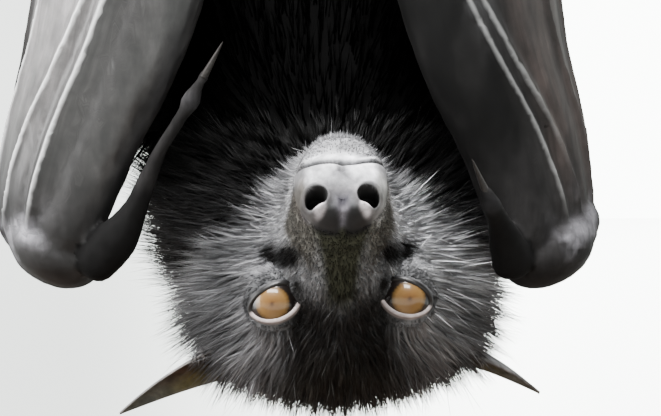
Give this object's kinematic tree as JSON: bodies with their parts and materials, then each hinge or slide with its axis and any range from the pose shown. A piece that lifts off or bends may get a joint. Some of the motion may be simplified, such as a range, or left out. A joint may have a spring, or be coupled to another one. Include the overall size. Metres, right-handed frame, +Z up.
{
  "type": "fruit bat",
  "caption": "Life-size flying fox at rest, hanging head down from a cut branch with its wings folded, on a plain display stand.",
  "frame": {"origin": "centre of the underside of the stand base, on the floor", "axes": "+Z up; the bat hangs head down facing -Y, with its own left side at -X"},
  "size_m": [0.316, 0.19, 0.3999],
  "materials": {
    "fur_grey": "grey-black fur with silvery tips",
    "fur_dark": "black fur",
    "wing_leather": "dark folded wing membrane, satin",
    "knuckle_skin": "pale grey wrinkled skin over the joints",
    "ear_skin": "thin brown bare skin",
    "eye": "amber iris under a wet clear surface",
    "claw_horn": "dark polished horn",
    "bark": "rough grey-brown bark, sawn ends",
    "stand_wood": "oiled dark wood",
    "stand_steel": "satin steel rod"
  },
  "bodies": {
    "root": {"head": "fur_grey", "lower_jaw": "fur_grey", "neck": "fur_grey", "chest": "fur_dark", "belly": "fur_dark", "rump": "fur_dark", "upper_arm_left": "fur_dark", "upper_arm_right": "fur_dark", "thigh_left": "fur_dark", "thigh_right": "fur_dark", "forearm_left": "wing_leather", "forearm_right": "wing_leather", "hand_left": "wing_leather", "hand_right": "wing_leather", "wing_web_left": "wing_leather", "wing_web_right": "wing_leather", "shin_left": "wing_leather", "shin_right": "wing_leather", "foot_left": "wing_leather", "foot_right": "wing_leather", "wrist_left": "knuckle_skin", "wrist_right": "knuckle_skin", "thumb_left": "knuckle_skin", "thumb_right": "knuckle_skin", "ear_left": "ear_skin", "ear_right": "ear_skin", "eye_left": "eye", "eye_right": "eye", "thumb_claw_left": "claw_horn", "thumb_claw_right": "claw_horn", "toe_claw_left_1": "claw_horn", "toe_claw_left_2": "claw_horn", "toe_claw_left_3": "claw_horn", "toe_claw_left_4": "claw_horn", "toe_claw_left_5": "claw_horn", "toe_claw_right_1": "claw_horn", "toe_claw_right_2": "claw_horn", "toe_claw_right_3": "claw_horn", "toe_claw_right_4": "claw_horn", "toe_claw_right_5": "claw_horn", "perch": "bark", "stand_base": "stand_wood", "stand_rod_left": "stand_steel", "stand_rod_right": "stand_steel"}
  },
  "joints": []
}
